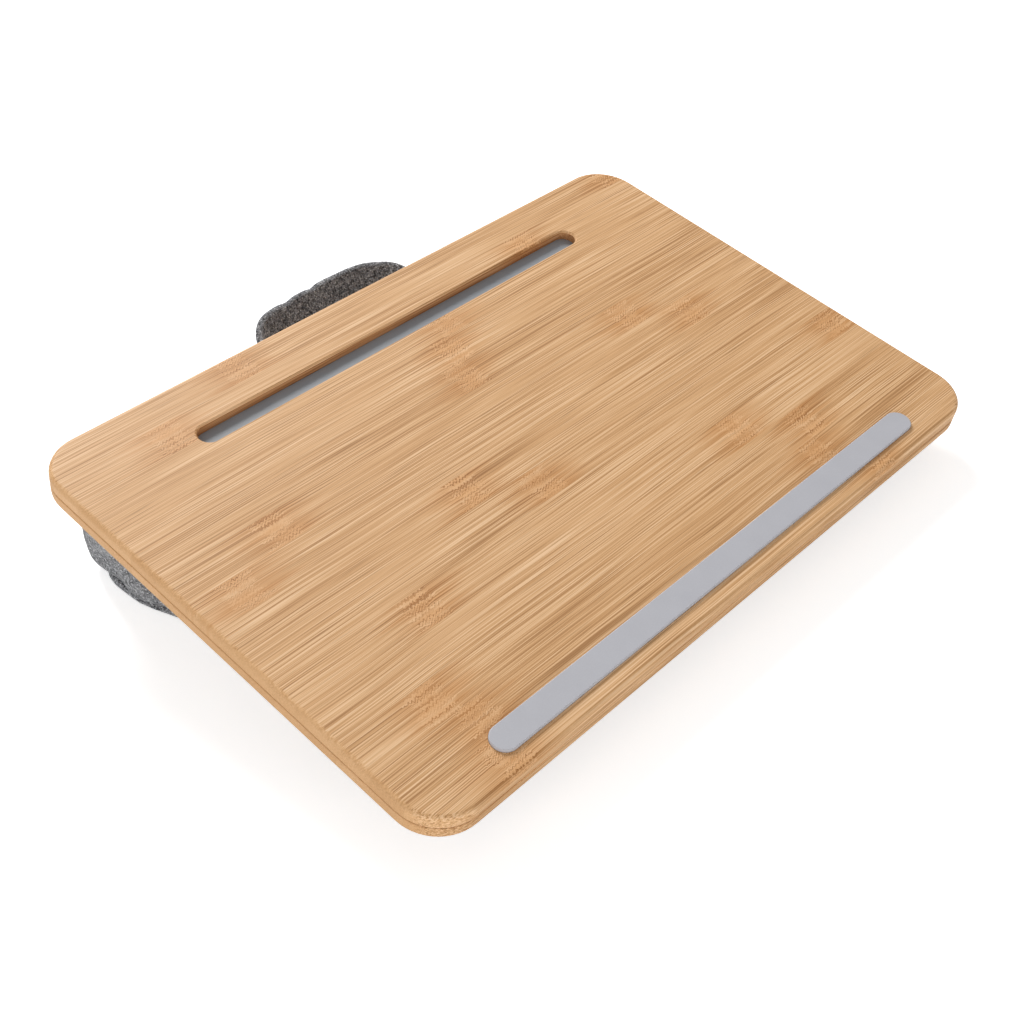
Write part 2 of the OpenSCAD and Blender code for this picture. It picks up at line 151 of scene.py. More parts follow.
FILL_LEVEL = 0.42
world = bpy.data.worlds.new("studio")
world.use_nodes = True
bpy.context.scene.world = world
world_tree = world.node_tree
world_tree.nodes.clear()
path = world_tree.nodes.new("ShaderNodeLightPath")
seen = world_tree.nodes.new("ShaderNodeMath")
seen.operation = "MAXIMUM"
level = world_tree.nodes.new("ShaderNodeMapRange")
level.inputs["To Min"].default_value = FILL_LEVEL
level.inputs["To Max"].default_value = 1.0
sky = world_tree.nodes.new("ShaderNodeBackground")
sky_out = world_tree.nodes.new("ShaderNodeOutputWorld")
world_tree.links.new(path.outputs["Is Camera Ray"], seen.inputs[0])
world_tree.links.new(path.outputs["Is Transmission Ray"], seen.inputs[1])
world_tree.links.new(seen.outputs[0], level.inputs["Value"])
world_tree.links.new(level.outputs["Result"], sky.inputs["Strength"])
world_tree.links.new(sky.outputs[0], sky_out.inputs["Surface"])


def lamp(name, place, width, height, power):
    """A soft lamp that looks at the middle of the part."""
    bpy.ops.object.light_add(type="AREA", location=place)
    made = bpy.context.object
    made.name = name
    made.data.shape = "RECTANGLE"
    made.data.size = width
    made.data.size_y = height
    made.data.energy = power
    made.rotation_euler = (-Vector(place)).to_track_quat("-Z", "Y").to_euler()
    return made


key = lamp("key_behind", (0.85, 2.2, 2.0), 1.2, 1.2, 99)
side = lamp("fill_left", (-1.6, 0.05, 0.3), 1.4, 0.45, 8)
front = lamp("fill_front", (-0.3, -1.6, 0.28), 1.6, 0.4, 11)
key.data.specular_factor = 0.15
print("lamps", key.name, side.name, front.name)

# %% [markdown]
# Every finish below is a small recipe of nodes. The class keeps the bookkeeping out of the way:
# node() adds one node and wires or sets its inputs, and maths() does the same for arithmetic.

# %% Building finishes
class Finish:
    """A material being built, one node at a time."""

    def __init__(self, name, roughness=0.6, specular=0.5):
        self.material = bpy.data.materials.new(name)
        self.material.use_nodes = True
        self.tree = self.material.node_tree
        self.shader = self.tree.nodes["Principled BSDF"]
        self.shader.inputs["Roughness"].default_value = roughness
        self.shader.inputs["Specular IOR Level"].default_value = specular

    def feed(self, socket, value):
        if isinstance(value, bpy.types.NodeSocket):
            self.tree.links.new(value, socket)
        else:
            socket.default_value = value

    def node(self, kind, inputs=None, **settings):
        made = self.tree.nodes.new(kind)
        for key_name, value in settings.items():
            setattr(made, key_name, value)
        for key_name, value in (inputs or {}).items():
            self.feed(made.inputs[key_name], value)
        return made

    def maths(self, operation, a, b=0.0, c=0.0):
        return self.node("ShaderNodeMath", {0: a, 1: b, 2: c}, operation=operation).outputs[0]

    def vector(self, x, y, z):
        return self.node("ShaderNodeCombineXYZ", {0: x, 1: y, 2: z}).outputs[0]

    def grain(self, place, scale=1.0, detail=2.0, roughness=0.5):
        inputs = {"Vector": place, "Scale": scale, "Detail": detail, "Roughness": roughness}
        return self.node("ShaderNodeTexNoise", inputs).outputs[0]

    def spread(self, value, low, high, to_low=0.0, to_high=1.0):
        inputs = {"Value": value, "From Min": low, "From Max": high,
                  "To Min": to_low, "To Max": to_high}
        return self.node("ShaderNodeMapRange", inputs).outputs["Result"]

    def ramp(self, value, stops):
        made = self.node("ShaderNodeValToRGB", {"Fac": value})
        elements = made.color_ramp.elements
        for _ in range(len(stops) - 2):
            elements.new(0.5)
        for element, (place, colour) in zip(elements, stops):
            element.position = place
            element.color = (*colour, 1)
        return made.outputs["Color"]

    def tint(self, colour, amount, blend="MULTIPLY", factor=1.0):
        made = self.node("ShaderNodeMix", data_type="RGBA", blend_type=blend)
        self.feed(made.inputs[0], factor)
        self.feed(made.inputs[6], colour)
        self.feed(made.inputs[7], amount)
        return made.outputs[2]

    def colour(self, value):
        self.feed(self.shader.inputs["Base Color"], value)

    def bump(self, height, strength, distance):
        inputs = {"Height": height, "Strength": strength, "Distance": distance}
        bumped = self.node("ShaderNodeBump", inputs)
        self.tree.links.new(bumped.outputs[0], self.shader.inputs["Normal"])

    def object_place(self):
        return self.node("ShaderNodeTexCoord").outputs["Object"]


def dress(finish, *names):
    """Gives the CAD nodes of these names the finish in every material slot."""
    for name in names:
        slots = nodes[name].data.materials
        slots.clear()
        slots.append(finish.material)


def dress_piece(piece, finish):
    piece.data.materials.clear()
    piece.data.materials.append(finish.material)


# %% [markdown]
# Bamboo board is glued from flat strips, here fourteen of them across the depth. Each strip has
# its own tone, long fine fibres that run its whole length, and a knot about every 300 mm where
# the cane had a joint. A knot fills the width of its strip and ends sharply at the glue line, and
# inside it the fibres zigzag. The recipe works in the boards' frame: a Mapping node of type
# Texture turns the object's coordinates into it, so the strips lie true however the boards slope.

# %% Bamboo
KNOTS = (
    (0, -170), (0, 130), (1, -165), (1, 108), (2, -176), (2, 124), (3, 87), (4, -140), (4, 210),
    (5, -32), (6, -67), (7, -198), (7, 149), (8, -160), (8, 113), (9, -3), (10, 7), (11, 21),
    (12, -160), (12, 116), (13, -98), (13, 215),
)
KNOT_HALF = 10.5 * MM
SLOT_Y = 108 * MM
SLOT_HALF_W = 8 * MM
SLOT_HALF_L = 150 * MM
# The depths between which the slot's walls get their painted shade
SLOT_SHADE_TOP = -1.2 * MM
SLOT_SHADE_FLOOR = -8 * MM
KNOT_SHADE_HALF = 30 * MM
END_FADE_START = 3.5 * MM
END_FADE_STOP = 1 * MM
GLUE_HALF = 0.3 * MM
BAMBOO_STOPS = (
    (0.10, (0.400, 0.200, 0.078)),
    (0.36, (0.575, 0.318, 0.140)),
    (0.54, (0.672, 0.396, 0.190)),
    (0.90, (0.830, 0.550, 0.320)),
)


def bamboo(name, knots, seed):
    wood = Finish(name, roughness=0.55, specular=0.22)
    wood.shader.inputs["Coat Weight"].default_value = 0.05
    wood.shader.inputs["Coat Roughness"].default_value = 0.4
    level_place = wood.node(
        "ShaderNodeMapping",
        {"Vector": wood.object_place(), "Location": worktop, "Rotation": (tilt, 0, 0)},
        vector_type="TEXTURE",
    ).outputs[0]
    split = wood.node("ShaderNodeSeparateXYZ", {0: level_place})
    x, y, z = split.outputs

    def times(a, b):
        return wood.maths("MULTIPLY", a, b)

    def plus(a, b):
        return wood.maths("ADD", a, b)

    def swing(value, amount):
        """A noise value turned into a swing about zero, this much from end to end."""
        return times(wood.maths("SUBTRACT", value, 0.5), amount)

    strip_w = board_d / strip_count
    strip = wood.maths("FLOOR", wood.maths("DIVIDE", plus(y, board_d / 2), strip_w))
    chance = wood.node(
        "ShaderNodeTexWhiteNoise", {"W": plus(strip, seed)}, noise_dimensions="1D").outputs[0]
    shift = times(chance, 37)

    # How far this point is from the nearest knot in its own strip, along the grain
    nearest = None
    for knot_strip, knot_x in knots:
        off_strip = wood.maths("ABSOLUTE", wood.maths("SUBTRACT", strip, knot_strip))
        along = wood.maths("ABSOLUTE", wood.maths("SUBTRACT", x, knot_x * MM))
        away = plus(along, off_strip)
        nearest = away if nearest is None else wood.maths("MINIMUM", nearest, away)
    ragged = wood.grain(wood.vector(times(x, 60), times(y, 330), seed), detail=3)
    near = plus(nearest, swing(ragged, 22 * MM))
    knot = wood.spread(near, KNOT_HALF, KNOT_HALF * 0.55)
    streaky = wood.grain(wood.vector(times(x, 22), times(y, 260), seed + 4))
    shade = wood.spread(plus(nearest, swing(streaky, 60 * MM)), KNOT_SHADE_HALF, 0.0)

    # Inside a knot the fibres are thrown about in short zigzags
    throw = wood.grain(wood.vector(times(x, 420), times(y, 300), seed), detail=2, roughness=0.6)
    zigzag = wood.maths("PINGPONG", plus(x, swing(throw, 3 * MM)), 1.1 * MM)
    thrown = plus(swing(throw, 4.5 * MM), zigzag)
    drift = wood.grain(wood.vector(times(x, 6), times(y, 14), seed + 8))
    line_y = plus(plus(y, swing(drift, 4 * MM)), times(knot, thrown))

    def fibres(along_scale, across_scale, **settings):
        place = wood.vector(wood.maths("MULTIPLY_ADD", x, along_scale, shift),
                            times(line_y, across_scale), times(z, across_scale))
        return wood.grain(place, **settings)

    fine = fibres(8, 1600, detail=2, roughness=0.6)
    lines = fibres(8, 560, detail=3, roughness=0.6)
    broad = fibres(2, 80, detail=2)
    dashes = fibres(30, 1700, detail=1)
    patch_place = wood.vector(wood.maths("MULTIPLY_ADD", x, 12, shift), times(y, 70), seed + 2)
    patches = wood.grain(patch_place, detail=2)

    # The fibres set the tone, and everything is weaker on the end faces, where they are cut across
    strength = plus(wood.spread(patches, 0.35, 0.65, 1.9, 3.4), times(knot, 2.6))
    mixed = plus(times(wood.maths("SUBTRACT", fine, 0.5), strength), swing(lines, 0.24))
    mixed = plus(mixed, swing(broad, 0.32))
    ends = wood.spread(wood.maths("ABSOLUTE", x),
                       board_w / 2 - END_FADE_START, board_w / 2 - END_FADE_STOP, 1.0, 0.25)
    mixed = plus(plus(times(mixed, ends), 0.5), swing(chance, 0.12))
    mixed = plus(mixed, times(knot, 0.18))
    tone = wood.ramp(mixed, BAMBOO_STOPS)
    dash_dark = plus(1.0, times(wood.spread(dashes, 0.60, 0.74, 0.0, -0.2), ends))
    tone = wood.tint(tone, wood.vector(dash_dark, dash_dark, dash_dark))
    tone = wood.tint(tone, (0.86, 0.73, 0.58, 1), factor=shade)
    glue = wood.maths("PINGPONG", plus(y, board_d / 2), strip_w / 2)
    glue_dark = wood.spread(glue, 0.0, GLUE_HALF, 0.95, 1.0)
    tone = wood.tint(tone, wood.vector(glue_dark, glue_dark, glue_dark))
    # Painted shade: the slot's walls below its top edge are darkened in colour, standing in for the
    # shade that falls inside the narrow slot
    off_slot = wood.maths("ABSOLUTE", wood.maths("SUBTRACT", y, SLOT_Y))
    in_slot = times(wood.maths("LESS_THAN", off_slot, SLOT_HALF_W),
                    wood.maths("LESS_THAN", wood.maths("ABSOLUTE", x), SLOT_HALF_L))
    below = times(wood.maths("LESS_THAN", z, SLOT_SHADE_TOP),
                  wood.maths("GREATER_THAN", z, SLOT_SHADE_FLOOR))
    tone = wood.tint(tone, (0.66, 0.56, 0.48, 1), factor=times(in_slot, below))
    wood.colour(tone)
    wood.bump(plus(fine, times(dashes, 0.5)), 0.1, 0.3 * MM)
    return wood


lid_bamboo = bamboo("bamboo_lid", KNOTS, 3.0)
base_bamboo = bamboo("bamboo_base", KNOTS[::3], 41.0)
dress(lid_bamboo, "lid_board")
dress(base_bamboo, "base_board")
print("bamboo with", len(KNOTS), "knots")

# %% [markdown]
# The plain moulded and plated pieces share one recipe: two close tones mixed by fine noise, and
# the same noise as a faint bump, so no surface is a single flat colour. Only the scale and the
# gloss change.

# %% Moulded, rubber and plated finishes
def speckled(name, colour, other, scale, roughness, bump_strength, metal=0.0, stretch=(1, 1, 1)):
    plain = Finish(name, roughness=roughness)
    plain.shader.inputs["Metallic"].default_value = metal
    mapped = {"Vector": plain.object_place(), "Scale": stretch}
    place = plain.node("ShaderNodeMapping", mapped).outputs[0]
    fleck = plain.grain(place, scale=scale, detail=3, roughness=0.6)
    broad = plain.grain(place, scale=scale * 0.06, detail=2)
    amount = plain.maths("MULTIPLY_ADD", fleck, 0.6, plain.maths("MULTIPLY", broad, 0.4))
    plain.colour(plain.ramp(amount, ((0.3, colour), (0.7, other))))
    plain.bump(fleck, bump_strength, 0.2 * MM)
    return plain


silicone = speckled("grey_silicone", (0.435, 0.435, 0.468), (0.475, 0.475, 0.508), 1400, 0.62, 0.06)
liner = speckled("pale_liner", (0.34, 0.385, 0.43), (0.38, 0.425, 0.47), 1200, 0.5, 0.05)
tub_plastic = speckled("tub_plastic", (0.165, 0.17, 0.18), (0.20, 0.205, 0.215), 900, 0.45, 0.2)
rubber = speckled("bumper_rubber", (0.03, 0.03, 0.032), (0.045, 0.045, 0.047), 1500, 0.7, 0.1)
plated = speckled("zinc_plate", (0.62, 0.62, 0.63), (0.74, 0.74, 0.75), 500, 0.32, 0.06,
                  1.0, (0.15, 2, 2))
nickel = speckled("magnet_nickel", (0.55, 0.54, 0.52), (0.66, 0.65, 0.62), 700, 0.25, 0.03, 1.0)
felt = speckled("felt_mat", (0.05, 0.052, 0.056), (0.13, 0.134, 0.14), 1100, 0.95, 0.9)
tape = speckled("hook_loop", (0.02, 0.02, 0.021), (0.05, 0.05, 0.052), 1600, 0.95, 0.9)
dress(silicone, "grip_strip")
dress(liner, "slot_liner")
dress(tub_plastic, "storage_tub")
dress(rubber, "lid_bumpers")
dress(plated, "liner_screws", "hinge_lid_screws", "hinge_base_screws", "tub_screws", "strike_discs")
dress(plated, "hinge_lid_leaves", "hinge_base_leaves", "hinge_pins")
dress(nickel, "lid_magnets")
dress(felt, "tub_mat")
dress(tape, "loop_tapes", "hook_tapes")
print("moulded, rubber and plated finishes done")

# %% [markdown]
# The cover is a heather weave: dark and light fibres are spun together, so each thread changes
# tone every few millimetres. The group below draws one plain weave from two coordinates in
# metres. It finds which thread is on top at a crossing, gives that thread its tone at that place,
# and rounds it for the bump.

# %% Heather weave
THREAD = 1.0 * MM


def weave_group():
    group = bpy.data.node_groups.new("plain_weave", "ShaderNodeTree")
    for label in ("Across", "Along"):
        group.interface.new_socket(label, in_out="INPUT", socket_type="NodeSocketFloat")
    for label in ("Tone", "Height"):
        group.interface.new_socket(label, in_out="OUTPUT", socket_type="NodeSocketFloat")
    ends = group.nodes.new("NodeGroupInput")
    result = group.nodes.new("NodeGroupOutput")

    def maths(operation, a, b=0.0):
        made = group.nodes.new("ShaderNodeMath")
        made.operation = operation
        for socket, value in zip(made.inputs, (a, b)):
            if isinstance(value, bpy.types.NodeSocket):
                group.links.new(value, socket)
            else:
                socket.default_value = value
        return made.outputs[0]

    def fleck(a, b, seed):
        place = group.nodes.new("ShaderNodeCombineXYZ")
        group.links.new(a, place.inputs[0])
        group.links.new(b, place.inputs[1])
        place.inputs[2].default_value = seed
        made = group.nodes.new("ShaderNodeTexNoise")
        made.inputs["Scale"].default_value = 1.0
        made.inputs["Detail"].default_value = 2.0
        group.links.new(place.outputs[0], made.inputs["Vector"])
        return made.outputs[0]

    across, along = ends.outputs["Across"], ends.outputs["Along"]
    a = maths("DIVIDE", across, THREAD)
    b = maths("DIVIDE", along, THREAD)
    a_row, b_row = maths("FLOOR", a), maths("FLOOR", b)
    over = maths("FLOORED_MODULO", maths("ADD", a_row, b_row), 2.0)
    warp = fleck(maths("MULTIPLY", a_row, 7.31), maths("MULTIPLY", b, 0.33), 1.0)
    weft = fleck(maths("MULTIPLY", a, 0.33), maths("MULTIPLY", b_row, 5.17), 9.0)
    kept = maths("MULTIPLY", warp, over)
    tone = maths("ADD", kept, maths("MULTIPLY", weft, maths("SUBTRACT", 1.0, over)))
    a_round = maths("SINE", maths("MULTIPLY", maths("FRACT", a), math.pi))
    b_round = maths("SINE", maths("MULTIPLY", maths("FRACT", b), math.pi))
    height = maths("MULTIPLY", a_round, b_round)
    group.links.new(tone, result.inputs["Tone"])
    group.links.new(height, result.inputs["Height"])
    return group


weave = weave_group()
HEATHER_STOPS = (
    (0.34, (0.050, 0.052, 0.056)),
    (0.45, (0.180, 0.183, 0.195)),
    (0.55, (0.365, 0.369, 0.385)),
    (0.66, (0.660, 0.665, 0.685)),
)


def weave_on(cloth, across, along):
    made = cloth.node("ShaderNodeGroup", node_tree=weave)
    cloth.feed(made.inputs["Across"], across)
    cloth.feed(made.inputs["Along"], along)
    return made.outputs["Tone"], made.outputs["Height"]


def finish_cloth(cloth, tone, height):
    colour = cloth.ramp(tone, HEATHER_STOPS)
    # Painted shade: the colour is darkened down to half in the low places between the threads,
    # where shade falls in the weave
    hollow = cloth.spread(height, 0.0, 0.6, 0.5, 1.0)
    cloth.colour(cloth.tint(colour, cloth.vector(hollow, hollow, hollow)))
    cloth.bump(height, 0.55, 0.35 * MM)
    cloth.shader.inputs["Sheen Weight"].default_value = 0.25
    cloth.shader.inputs["Sheen Roughness"].default_value = 0.5
    return cloth


def heather_by_face():
    """Weave laid on by the way each face looks: side, front or underside."""
    cloth = Finish("heather", roughness=0.95, specular=0.15)
    split = cloth.node("ShaderNodeSeparateXYZ", {0: cloth.object_place()})
    normal_out = cloth.node("ShaderNodeNewGeometry").outputs["Normal"]
    facing = cloth.node("ShaderNodeSeparateXYZ", {0: normal_out})
    x, y, z = split.outputs
    to_x, to_y, to_z = (cloth.maths("ABSOLUTE", out) for out in facing.outputs)
    side_tone, side_height = weave_on(cloth, y, z)
    front_tone, front_height = weave_on(cloth, x, z)
    under_tone, under_height = weave_on(cloth, x, y)
    is_side = cloth.maths("GREATER_THAN", to_x, to_y)
    is_under = cloth.maths("GREATER_THAN", to_z, 0.75)

    def choose(under, side, front):
        upright = cloth.maths("ADD", cloth.maths("MULTIPLY", side, is_side),
                              cloth.maths("MULTIPLY", front, cloth.maths("SUBTRACT", 1.0, is_side)))
        return cloth.maths("ADD", cloth.maths("MULTIPLY", under, is_under),
                           cloth.maths("MULTIPLY", upright, cloth.maths("SUBTRACT", 1.0, is_under)))

    return finish_cloth(cloth, choose(under_tone, side_tone, front_tone),
                        choose(under_height, side_height, front_height))


cushion_cloth = heather_by_face()
print("heather weave, thread", THREAD)

# %% [markdown]
# The cushion is a wedge: thin at the front and thick at the back, so the boards slope. A sewn
# cushion is never a block. Its sides pull in between the corners, and its filling pushes the
# fabric out between the seams. It starts as a cube at the wedge's size, has its upright edges
# bevelled, and is cut off by the slope of the boards. A remesh then gives it an even net of small
# faces that can be shaped and inflated.

# %% Cushion: the wedge
cover_low, cover_high = (Vector(corner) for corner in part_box("cover_bottom"))
cushion_mid = (cover_low + cover_high) / 2
CORNER_FULL = 2.5 * MM
CORNER_ROUND = 25 * MM
CUSHION_GAP = 2.6 * MM
CUSHION_BACK = 4 * MM
START_HALF_HEIGHT = 0.1
half_x = (cover_high.x - cover_low.x) / 2 + CORNER_FULL
half_y = (cover_high.y - cover_low.y) / 2 + CORNER_FULL
cushion_mid.y += CUSHION_BACK
top_anchor = on_board(0, 0, -board_thick - CUSHION_GAP)


def slope_height(y):
    """Height of the cushion's sloping top at this depth."""
    return top_anchor.z + (y - top_anchor.y) * math.tan(tilt)


deselect_all()
bpy.ops.mesh.primitive_cube_add(size=2, location=(cushion_mid.x, cushion_mid.y, START_HALF_HEIGHT))
cushion = bpy.context.object
cushion.name = "cushion_cover"
cushion.scale = (half_x, half_y, START_HALF_HEIGHT)
apply_place(cushion)
bpy.ops.object.mode_set(mode="EDIT")
bpy.ops.mesh.select_all(action="DESELECT")
net = bmesh.from_edit_mesh(cushion.data)
for edge in net.edges:
    ends = edge.verts
    edge.select = abs(ends[0].co.z - ends[1].co.z) > 0.05
bmesh.update_edit_mesh(cushion.data)
bpy.ops.mesh.bevel(offset=CORNER_ROUND, segments=10, profile=0.5)
bpy.ops.mesh.select_all(action="SELECT")
bpy.ops.mesh.bisect(plane_co=top_anchor, plane_no=board_frame.to_3x3() @ Vector((0, 0, 1)),
                    use_fill=True, clear_outer=True)
bpy.ops.object.mode_set(mode="OBJECT")
VOXEL = 5 * MM
remesh = cushion.modifiers.new("even_net", "REMESH")
remesh.mode = "VOXEL"
remesh.voxel_size = VOXEL
apply_modifiers(cushion)
print("wedge faces", len(cushion.data.polygons))

# %% [markdown]
# The sides are drawn in before the filling goes in. The corners keep their full size like the
# ears of a pillow, and from EAR_START beside them each side runs in a shallow hollow. The same
# function serves the piping later, so both always agree. Up its height every side gets a low
# belly.

# %% Cushion: drawing the sides in
PULL_SIDE = 10 * MM
PULL_FRONT = 7 * MM
PULL_BACK = 12.5 * MM
EAR_START = 38 * MM
EAR_END = 82 * MM


def hollow(distance, half):
    """Nothing at a corner, 1 along the middle of a side, with a soft step between."""
    share = (half - abs(distance) - EAR_START) / (EAR_END - EAR_START)
    share = max(0.0, min(1.0, share))
    return share * share * (3 - 2 * share)


def drawn_in(x, y):
    """Moves a point of the wedge inwards, most along the middle of a side."""
    u = max(-1.0, min(1.0, (x - cushion_mid.x) / half_x))
    v = max(-1.0, min(1.0, (y - cushion_mid.y) / half_y))
    pull_y = PULL_BACK if v > 0 else PULL_FRONT
    new_x = x - PULL_SIDE * u * abs(u) * hollow(y - cushion_mid.y, half_y)
    new_y = y - pull_y * v * abs(v) * hollow(x - cushion_mid.x, half_x)
    return new_x, new_y


BELLY = 4.5 * MM
for vertex in cushion.data.vertices:
    share = max(0.0, min(1.0, vertex.co.z / slope_height(vertex.co.y)))
    outward = Vector((vertex.normal.x, vertex.normal.y, 0))
    belly = BELLY * (4 * share * (1 - share)) ** 0.3
    vertex.co.x, vertex.co.y = drawn_in(vertex.co.x, vertex.co.y)
    if outward.length > 0.5:
        vertex.co += outward.normalized() * belly
print("sides drawn in by", PULL_SIDE, PULL_FRONT, PULL_BACK, "belly", BELLY)

# %% [markdown]
# Now the filling. The upper and lower seams are held, the fabric in between is a little larger
# than the wedge, and air pressure pushes it out until it bellies over the seams in soft waves.
# The cap keeps any point from travelling further than real filling would push it.

# %% Cushion: inflating it
SEAM_BAND = 3.5 * MM
PRESSURE = 4.0
CLOTH_SPARE = -0.06
CAP = 8 * MM
FLOOR_CLEARANCE = 0.6 * MM
CLOTH_STEPS = 20
bottom_level = min(vertex.co.z for vertex in cushion.data.vertices)
held = cushion.vertex_groups.new(name="seams")
for vertex in cushion.data.vertices:
    from_top = slope_height(vertex.co.y) - vertex.co.z
    from_bottom = vertex.co.z - bottom_level
    if from_top < SEAM_BAND or from_bottom < SEAM_BAND:
        held.add([vertex.index], 1.0, "REPLACE")
before = [vertex.co.copy() for vertex in cushion.data.vertices]
cloth = cushion.modifiers.new("filling", "CLOTH")
cloth.settings.vertex_group_mass = "seams"
cloth.settings.quality = 6
cloth.settings.use_pressure = True
cloth.settings.uniform_pressure_force = PRESSURE
cloth.settings.shrink_min = CLOTH_SPARE
cloth.settings.tension_stiffness = 12
cloth.settings.compression_stiffness = 12
cloth.settings.bending_stiffness = 1.2
cloth.settings.effector_weights.gravity = 0
cloth.point_cache.frame_start = 1
cloth.point_cache.frame_end = CLOTH_STEPS
for step in range(1, CLOTH_STEPS + 1):
    bpy.context.scene.frame_set(step)
apply_modifiers(cushion)
bpy.context.scene.frame_set(1)
reach = 0.0
for vertex, start in zip(cushion.data.vertices, before):
    move = vertex.co - start
    reach = max(reach, move.length)
    if move.length > CAP:
        vertex.co = start + move * (CAP / move.length)
    vertex.co.z = max(vertex.co.z, FLOOR_CLEARANCE)
print("furthest move", round(reach, 4))

# %% [markdown]
# One subdivision smooths the net. The tub hangs down into the cushion, so its space is cut out
# with a box that is a little larger than the tub. The tub's rim lies on the board, so the box
# leaves it out.

# %% Cushion: smoothing, and room for the tub
tub_low, tub_high = (Vector(corner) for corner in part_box("storage_tub"))
TUB_ROOM = 1.2 * MM
smooth = cushion.modifiers.new("smooth", "SUBSURF")
smooth.levels = 1
smooth.render_levels = 1
apply_modifiers(cushion)
RIM = 8 * MM
tub_half_x = (tub_high.x - tub_low.x) / 2 - RIM + TUB_ROOM
deselect_all()
bpy.ops.mesh.primitive_cube_add(size=2)
cutter = bpy.context.object
CUTTER_HALF_Z = 0.03
TUB_HALF_Y = 110 * MM + TUB_ROOM
TUB_BACK = 8 * MM
TUB_FLOOR = -board_thick - 20 * MM - TUB_ROOM
cutter.scale = (tub_half_x, TUB_HALF_Y, CUTTER_HALF_Z)
cutter.location = (0, TUB_BACK, TUB_FLOOR + CUTTER_HALF_Z)
apply_place(cutter)
cutter.data.transform(board_frame)
room = cushion.modifiers.new("tub_room", "BOOLEAN")
room.operation = "DIFFERENCE"
room.solver = "EXACT"
room.object = cutter
apply_modifiers(cushion)
bpy.data.objects.remove(cutter)
dress_piece(cushion, cushion_cloth)
pick(cushion)
bpy.ops.object.shade_smooth_by_angle(angle=math.radians(50))
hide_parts("cushion_core", "cover_top", "cover_boxing", "cover_bottom")
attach(cushion, "base")
print("cushion faces", len(cushion.data.polygons))

# %% [markdown]
# Piping is a cord in a folded strip of the same cloth, sewn into both seams. It is a closed curve
# with a round bevel that follows the drawn-in outline, so it stays on the seam.

# %% Piping
PIPING_RADIUS = 1.9 * MM
UPPER_DROP = 1.5 * MM
UPPER_SPARE = 1.6 * MM
LOWER_LEVEL = 2.2 * MM
LOWER_SPARE = 1.2 * MM
OUTLINE_STEPS = 24


def cushion_outline(spare):
    """Points round the wedge, this much outside its drawn-in side."""
    points = []
    side_x, side_y, turn = half_x + spare, half_y + spare, CORNER_ROUND + spare
    for corner, (sx, sy) in enumerate(((1, 1), (-1, 1), (-1, -1), (1, -1))):
        for step in range(OUTLINE_STEPS + 1):
            angle = math.radians(90 * corner + 90 * step / OUTLINE_STEPS)
            x = cushion_mid.x + sx * (side_x - turn) + turn * math.cos(angle)
            y = cushion_mid.y + sy * (side_y - turn) + turn * math.sin(angle)
            points.append((x, y))
        nx, ny = ((-1, 1), (-1, -1), (1, -1), (1, 1))[corner]
        next_angle = math.radians(90 * corner + 90)
        x0, y0 = points[-1]
        x1 = cushion_mid.x + nx * (side_x - turn) + turn * math.cos(next_angle)
        y1 = cushion_mid.y + ny * (side_y - turn) + turn * math.sin(next_angle)
        for step in range(1, OUTLINE_STEPS):
            share = step / OUTLINE_STEPS
            points.append((x0 + (x1 - x0) * share, y0 + (y1 - y0) * share))
    return [drawn_in(x, y) for x, y in points]


def piping(name, node_name, height_at, spare):
    shape = bpy.data.curves.new(name, "CURVE")
    shape.dimensions = "3D"
    shape.bevel_depth = PIPING_RADIUS
    shape.bevel_resolution = 3
    points = cushion_outline(spare)
    spline = shape.splines.new("POLY")
    spline.points.add(len(points) - 1)
    for place, (x, y) in zip(spline.points, points):
        place.co = (x, y, height_at(y), 1)
    spline.use_cyclic_u = True
    cord = bpy.data.objects.new(name, shape)
    bpy.context.scene.collection.objects.link(cord)
    pick(cord)
    bpy.ops.object.convert(target="MESH")
    cord = bpy.context.object
    bpy.ops.object.shade_smooth()
    dress_piece(cord, cushion_cloth)
    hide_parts(node_name)
    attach(cord, "base")
    return cord


upper_piping = piping("piping_upper", "piping_top",
                      lambda y: slope_height(y) - UPPER_DROP, UPPER_SPARE)
lower_piping = piping("piping_lower", "piping_bottom", lambda y: LOWER_LEVEL, LOWER_SPARE)
print("piping", len(upper_piping.data.polygons) + len(lower_piping.data.polygons), "faces")

# %% [markdown]
# The carry loop is a padded strap. It is easiest to make flat: a fine grid gets its thickness and
# its rounded edges while it lies straight, and only then is it bent round a curve. The ends are
# gathered to the narrower width that is sewn to the anchors.

# %% Carry loop: the straight strap
BAND_W = 20 * MM
BAND_T = 4.2 * MM
ROOT_W = 15 * MM
GATHER_LEN = 18 * MM
ROOT_LEVEL = -board_thick - 20 * MM
LOOP_RISE = 6 * MM
LOOP_CORNERS = (
    (-59.5, 137.5), (-60.5, 150), (-58.5, 160), (-53.5, 169.5), (-44.0, 176.5),
    (-33, 179.5), (-20, 181.0), (-5, 181.5), (12, 182.0), (28, 181.5),
    (43, 178.5), (56, 172.5), (62.0, 162), (62.0, 150), (59.5, 137.5),
)


def loop_path():
    """The middle line of the strap in the boards' frame: a smooth curve through the corners."""
    corners = [Vector((x * MM, y * MM)) for x, y in LOOP_CORNERS]
    padded = [corners[0], *corners, corners[-1]]
    points = []
    for a, b, c, d in zip(padded, padded[1:], padded[2:], padded[3:]):
        for step in range(6):
            t = step / 6
            bow = 2 * a - 5 * b + 4 * c - d + t * (3 * b - a - 3 * c + d)
            points.append(b + 0.5 * t * ((c - a) + t * bow))
    points.append(corners[-1])
    return [tuple(point) for point in points]


